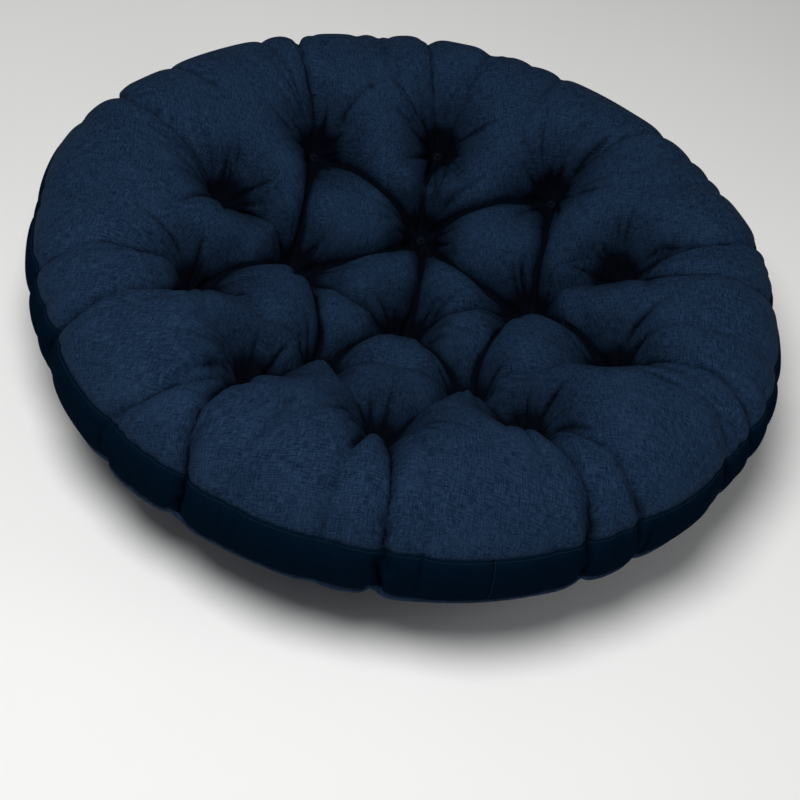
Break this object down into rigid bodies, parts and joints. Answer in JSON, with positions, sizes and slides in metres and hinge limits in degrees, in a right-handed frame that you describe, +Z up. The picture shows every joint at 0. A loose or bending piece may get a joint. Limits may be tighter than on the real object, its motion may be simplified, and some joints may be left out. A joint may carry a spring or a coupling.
{
  "type": "seat cushion",
  "caption": "Round dished seat cushion with a deep tufted face, fat pillow-like lobes and a boxed edge, shaped to lie in a bowl-shaped lounge chair.",
  "frame": {"origin": "on the cushion's axis at the level of its flat resting underside", "axes": "+Z up along the bowl's axis; +X and +Y across the cushion; seen along +Y the joined front of the side band is towards -Y"},
  "size_m": [1.1994, 1.1994, 0.285],
  "materials": {
    "cover_cloth": "matt navy slub weave, linen look",
    "band_cloth": "matt navy slub weave, linen look",
    "polyester_fibre": "loose white polyester fibre",
    "thread": "twisted navy sewing thread",
    "cord": "waxed tufting cord",
    "disc_plastic": "matt dark plastic"
  },
  "bodies": {
    "root": {"top_cover": "cover_cloth", "bottom_cover": "cover_cloth", "fibre_fill": "polyester_fibre", "side_band_1": "band_cloth", "side_band_2": "band_cloth", "side_band_3": "band_cloth", "top_seam_thread": "thread", "bottom_seam_thread": "thread", "band_join_thread_1": "thread", "band_join_thread_2": "thread", "band_join_thread_3": "thread", "tuft_disc_face_01": "disc_plastic", "tuft_disc_underside_01": "disc_plastic", "tuft_cord_01": "cord", "tuft_disc_face_02": "disc_plastic", "tuft_disc_underside_02": "disc_plastic", "tuft_cord_02": "cord", "tuft_disc_face_03": "disc_plastic", "tuft_disc_underside_03": "disc_plastic", "tuft_cord_03": "cord", "tuft_disc_face_04": "disc_plastic", "tuft_disc_underside_04": "disc_plastic", "tuft_cord_04": "cord", "tuft_disc_face_05": "disc_plastic", "tuft_disc_underside_05": "disc_plastic", "tuft_cord_05": "cord", "tuft_disc_face_06": "disc_plastic", "tuft_disc_underside_06": "disc_plastic", "tuft_cord_06": "cord", "tuft_disc_face_07": "disc_plastic", "tuft_disc_underside_07": "disc_plastic", "tuft_cord_07": "cord", "tuft_disc_face_08": "disc_plastic", "tuft_disc_underside_08": "disc_plastic", "tuft_cord_08": "cord", "tuft_disc_face_09": "disc_plastic", "tuft_disc_underside_09": "disc_plastic", "tuft_cord_09": "cord", "tuft_disc_face_10": "disc_plastic", "tuft_disc_underside_10": "disc_plastic", "tuft_cord_10": "cord", "tuft_disc_face_11": "disc_plastic", "tuft_disc_underside_11": "disc_plastic", "tuft_cord_11": "cord", "tuft_disc_face_12": "disc_plastic", "tuft_disc_underside_12": "disc_plastic", "tuft_cord_12": "cord", "tuft_disc_face_13": "disc_plastic", "tuft_disc_underside_13": "disc_plastic", "tuft_cord_13": "cord", "tuft_disc_face_14": "disc_plastic", "tuft_disc_underside_14": "disc_plastic", "tuft_cord_14": "cord", "tuft_disc_face_15": "disc_plastic", "tuft_disc_underside_15": "disc_plastic", "tuft_cord_15": "cord", "tuft_disc_face_16": "disc_plastic", "tuft_disc_underside_16": "disc_plastic", "tuft_cord_16": "cord"}
  },
  "joints": []
}
